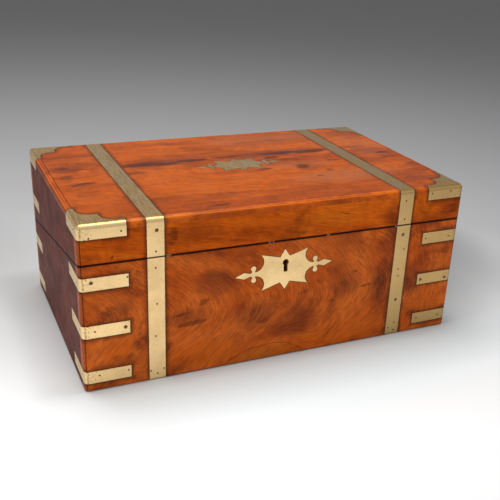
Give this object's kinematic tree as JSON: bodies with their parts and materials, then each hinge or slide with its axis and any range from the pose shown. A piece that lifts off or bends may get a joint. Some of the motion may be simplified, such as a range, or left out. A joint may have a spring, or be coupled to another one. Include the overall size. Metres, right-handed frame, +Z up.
{
  "type": "writing slope",
  "caption": "Brass-bound wooden writing box that splits on a slant and opens into a long writing slope, with leather flaps over paper wells, pen tray, inkwells and lock.",
  "frame": {"origin": "middle of the underside of the closed box", "axes": "+X along the front to the right, +Y from the lock side to the hinges, +Z up"},
  "size_m": [0.406, 0.255, 0.167],
  "materials": {
    "figured_wood": "french polished, flame figure",
    "top_veneer": "french polished veneer",
    "edging_wood": "polished",
    "fitting_wood": "satin",
    "binding_brass": "aged, softly polished",
    "brass": "satin",
    "steel": "filed bright",
    "leather": "dark green, gilt tooled border",
    "glass": "clear moulded"
  },
  "bodies": {
    "base": {"base_front_board": "figured_wood", "base_back_board": "figured_wood", "base_left_end": "figured_wood", "base_right_end": "figured_wood", "base_bottom_board": "fitting_wood", "base_centre_rail": "fitting_wood", "base_flap_ledges": "fitting_wood", "long_partition": "fitting_wood", "cross_partitions": "fitting_wood", "bay_floor": "fitting_wood", "tray_bearers": "fitting_wood", "pen_tray": "fitting_wood", "inkwell_glasses": "glass", "base_front_straps": "binding_brass", "base_back_straps": "binding_brass", "base_clips_front_left": "binding_brass", "base_clips_front_right": "binding_brass", "base_clips_back_left": "binding_brass", "base_clips_back_right": "binding_brass", "escutcheon": "binding_brass", "lock_case": "brass", "base_screws": "brass", "main_hinge_base_leaves": "brass", "main_hinge_pins": "brass", "base_rail_leaves": "brass"},
    "lid": {"lid_front_board": "figured_wood", "lid_back_board": "figured_wood", "lid_left_end": "figured_wood", "lid_right_end": "figured_wood", "lid_top_panel": "top_veneer", "lid_edging_front": "edging_wood", "lid_edging_back": "edging_wood", "lid_edging_left": "edging_wood", "lid_edging_right": "edging_wood", "lid_centre_rail": "fitting_wood", "lid_flap_ledges": "fitting_wood", "lid_strap_left": "binding_brass", "lid_strap_right": "binding_brass", "lid_bracket_front_left": "binding_brass", "lid_bracket_front_right": "binding_brass", "lid_bracket_back_left": "binding_brass", "lid_bracket_back_right": "binding_brass", "lid_clips_back": "binding_brass", "lid_cartouche": "binding_brass", "lock_link_plate": "brass", "lid_screws": "brass", "main_hinge_lid_leaves": "brass", "lid_rail_leaves": "brass"},
    "base_flap": {"base_flap_board": "fitting_wood", "base_flap_leather": "leather", "base_flap_leaves": "brass"},
    "lid_flap": {"lid_flap_board": "fitting_wood", "lid_flap_leather": "leather", "lid_flap_leaves": "brass"},
    "flap_catch": {"lid_flap_catch": "brass"},
    "bolt": {"lock_bolt": "steel"},
    "left_cap": {"left_inkwell_cap": "brass"},
    "right_cap": {"right_inkwell_cap": "brass"}
  },
  "joints": [
    {"name": "lid_hinge", "type": "hinge", "parent": "base", "child": "lid", "pos_m": [0, 0.12657, 0.0838], "axis": [-1, 0, 0], "range_deg": [0, 180]},
    {"name": "base_flap_hinge", "type": "hinge", "parent": "base", "child": "base_flap", "pos_m": [0, 0.09627, 0.08708], "axis": [-1, 0, 0], "range_deg": [0, 72]},
    {"name": "lid_flap_hinge", "type": "hinge", "parent": "lid", "child": "lid_flap", "pos_m": [0, 0.09701, 0.09122], "axis": [1, 0, 0], "range_deg": [0, 72]},
    {"name": "flap_catch_slide", "type": "slide", "parent": "lid_flap", "child": "flap_catch", "axis": [0, -0.9844, 0.1758], "range_m": [0, 0.005]},
    {"name": "lock_bolt_slide", "type": "slide", "parent": "base", "child": "bolt", "axis": [1, 0, 0], "range_m": [0, 0.005]},
    {"name": "left_cap_turn", "type": "hinge", "parent": "base", "child": "left_cap", "pos_m": [-0.175, -0.093, 0.10925], "axis": [0, 0, 1], "continuous": true},
    {"name": "right_cap_turn", "type": "hinge", "parent": "base", "child": "right_cap", "pos_m": [0.175, -0.093, 0.10925], "axis": [0, 0, 1], "continuous": true}
  ],
  "couplings": [
    {"joint": "base_flap_hinge", "follows": "lid_hinge", "ratio": 0.4},
    {"joint": "lid_flap_hinge", "follows": "lid_hinge", "ratio": 0.4}
  ]
}
